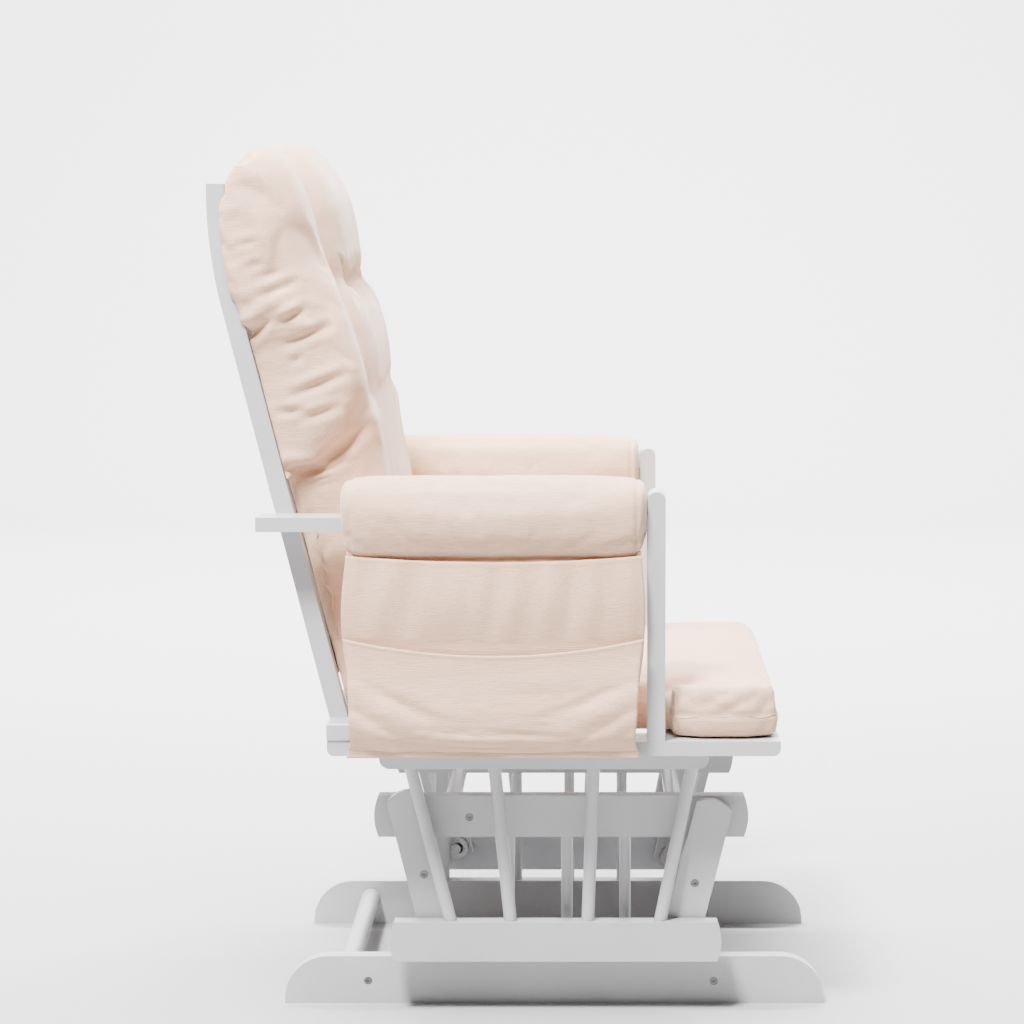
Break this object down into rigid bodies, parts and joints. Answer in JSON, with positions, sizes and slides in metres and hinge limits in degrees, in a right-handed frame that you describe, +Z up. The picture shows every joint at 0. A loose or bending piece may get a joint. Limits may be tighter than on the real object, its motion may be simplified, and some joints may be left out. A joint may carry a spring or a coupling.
{
  "type": "glider nursery chair",
  "caption": "Padded nursery chair with a high back, armrests and side pockets, hung on swing arms from a fixed wooden base so the seat glides back and forth.",
  "frame": {"origin": "on the floor under the middle of the chair's bounding box", "axes": "+X the way the sitter faces, +Y to the sitter's left, +Z up"},
  "size_m": [0.6939, 0.668, 0.9837],
  "materials": {
    "white_wood": "white satin lacquer over wood",
    "linen_cloth": "warm beige linen-like weave, fine horizontal slubs, matt",
    "dark_steel": "dark coated steel, satin",
    "bright_steel": "zinc plated steel, satin"
  },
  "bodies": {
    "base": {"floor_rail_right": "white_wood", "floor_rail_left": "white_wood", "rear_floor_dowel": "white_wood", "front_floor_dowel": "white_wood", "upper_rail_right": "white_wood", "upper_rail_left": "white_wood", "rear_upper_dowel": "white_wood", "front_upper_dowel": "white_wood", "base_posts": "white_wood", "base_spindles_right": "white_wood", "base_spindles_left": "white_wood", "floor_rail_bolts": "dark_steel", "upper_rail_bolts": "dark_steel", "upper_pivot_bolts": "bright_steel", "upper_pivot_washers": "bright_steel"},
    "front_arms": {"front_arm_right": "bright_steel", "front_arm_left": "bright_steel", "front_cover_right": "white_wood", "front_cover_left": "white_wood", "front_bearings": "bright_steel", "front_cover_bolts": "dark_steel"},
    "rear_arms": {"rear_arm_right": "bright_steel", "rear_arm_left": "bright_steel", "rear_cover_right": "white_wood", "rear_cover_left": "white_wood", "rear_bearings": "bright_steel", "rear_cover_bolts": "dark_steel"},
    "seat": {"glide_rail_right": "white_wood", "glide_rail_left": "white_wood", "seat_spindles_right": "white_wood", "seat_spindles_left": "white_wood", "apron_right": "white_wood", "apron_left": "white_wood", "side_rail_right": "white_wood", "side_rail_left": "white_wood", "front_seat_rail": "white_wood", "rear_seat_rail": "white_wood", "seat_slats": "white_wood", "lower_pivot_bolts": "bright_steel", "lower_pivot_washers": "bright_steel", "stile_right": "white_wood", "stile_left": "white_wood", "back_top_rail": "white_wood", "back_lower_rail": "white_wood", "back_slats": "white_wood", "front_post_right": "white_wood", "front_post_left": "white_wood", "arm_board_right": "white_wood", "arm_board_left": "white_wood", "arm_bolts": "dark_steel", "seat_cushion": "linen_cloth", "back_cushion": "linen_cloth", "arm_pad_right": "linen_cloth", "arm_pad_left": "linen_cloth", "side_panel_right": "linen_cloth", "side_panel_left": "linen_cloth", "upper_pocket_right": "linen_cloth", "upper_pocket_left": "linen_cloth", "lower_pocket_right": "linen_cloth", "lower_pocket_left": "linen_cloth"}
  },
  "joints": [
    {"name": "front_swing", "type": "hinge", "parent": "base", "child": "front_arms", "pos_m": [0.215, 0, 0.216], "axis": [0, -1, 0], "range_deg": [-22, 20]},
    {"name": "seat_tilt", "type": "hinge", "parent": "front_arms", "child": "seat", "pos_m": [0.18113, 0, 0.08016], "axis": [0, -1, 0], "range_deg": [-25.2, 27.7]},
    {"name": "rear_swing", "type": "hinge", "parent": "base", "child": "rear_arms", "pos_m": [-0.1285, 0, 0.2265], "axis": [0, -1, 0], "range_deg": [-22.5, 20.5]}
  ],
  "couplings": [
    {"joint": "seat_tilt", "follows": "front_swing", "ratio": -1.2526},
    {"joint": "rear_swing", "follows": "front_swing", "ratio": 1.0175}
  ]
}
